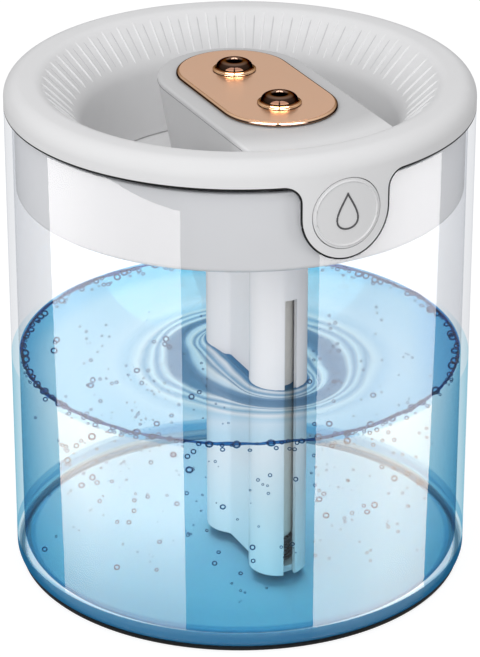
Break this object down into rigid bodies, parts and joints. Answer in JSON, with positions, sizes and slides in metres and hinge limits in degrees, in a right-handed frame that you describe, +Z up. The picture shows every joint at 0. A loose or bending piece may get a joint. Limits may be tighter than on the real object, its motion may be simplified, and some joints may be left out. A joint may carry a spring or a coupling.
{
  "type": "cool mist humidifier",
  "caption": "Countertop cool mist humidifier: clear round tank, lift-off white lid with a ribbed bowl rim, mist nozzles on a metal-look plate, a press button and sprung wicks.",
  "frame": {"origin": "centre of the underside, on the surface it stands on", "axes": "+Z up; the button tab faces -Y and the power inlet +Y; the plane x = 0 runs through both nozzles"},
  "size_m": [0.18, 0.18, 0.2048],
  "materials": {
    "clear_tank": "clear polished plastic",
    "water": "clear blue-tinted water, shown only in the visual model",
    "white_matte": "fine satin moulded plastic",
    "white_gloss": "glossy moulded plastic",
    "rose_gold": "satin rose-gold with a polished edge",
    "polished_gold": "mirror-polished rose-gold plating",
    "black_rubber": "matte",
    "silicone": "soft translucent white",
    "ceramic": "piezo ceramic with a metal mesh centre",
    "steel": "plated steel",
    "circuit_board": "green solder mask",
    "lead_insulation": "smooth",
    "cotton": "compressed cotton fibre"
  },
  "bodies": {
    "tank": {"tank": "clear_tank", "foot_pad": "black_rubber"},
    "lid": {"atomizer_disc_front": "ceramic", "atomizer_disc_rear": "ceramic", "board_screw_1": "steel", "board_screw_2": "steel", "case_screw_1": "steel", "case_screw_2": "steel", "case_screw_3": "steel", "case_screw_4": "steel", "control_board": "circuit_board", "disc_holder_front": "white_matte", "disc_holder_rear": "white_matte", "disc_lead_front": "lead_insulation", "disc_lead_rear": "lead_insulation", "disc_seal_front": "silicone", "disc_seal_rear": "silicone", "inlet_board": "circuit_board", "lid_base_shell": "white_gloss", "lid_top_shell": "white_matte", "nozzle_plate": "rose_gold", "nozzle_ring_front": "polished_gold", "nozzle_ring_rear": "polished_gold", "rim_gasket": "black_rubber", "spring_plug_front": "white_matte", "spring_plug_rear": "white_matte", "supply_lead": "lead_insulation", "switch_board": "circuit_board", "tact_switch": "steel", "usb_inlet": "steel", "wick_spring_front": "steel", "wick_spring_rear": "steel", "wick_tower": "white_gloss"},
    "button": {"power_button": "white_matte"},
    "wick_front": {"wick_front": "cotton"},
    "wick_rear": {"wick_rear": "cotton"}
  },
  "joints": [
    {"name": "lid_lift", "type": "slide", "parent": "tank", "child": "lid", "axis": [0, 0, 1], "range_m": [0, 0.19]},
    {"name": "button_press", "type": "slide", "parent": "lid", "child": "button", "axis": [0, 1, 0], "range_m": [0, 0.0008], "stiffness_N_per_m": 1500, "springref_m": -0.0004},
    {"name": "wick_front_press", "type": "slide", "parent": "lid", "child": "wick_front", "axis": [0, 0, -1], "range_m": [0, 0.004], "stiffness_N_per_m": 150, "springref_m": -0.006, "deforming": ["wick_spring_front"]},
    {"name": "wick_rear_press", "type": "slide", "parent": "lid", "child": "wick_rear", "axis": [0, 0, -1], "range_m": [0, 0.004], "stiffness_N_per_m": 150, "springref_m": -0.006, "deforming": ["wick_spring_rear"]}
  ]
}
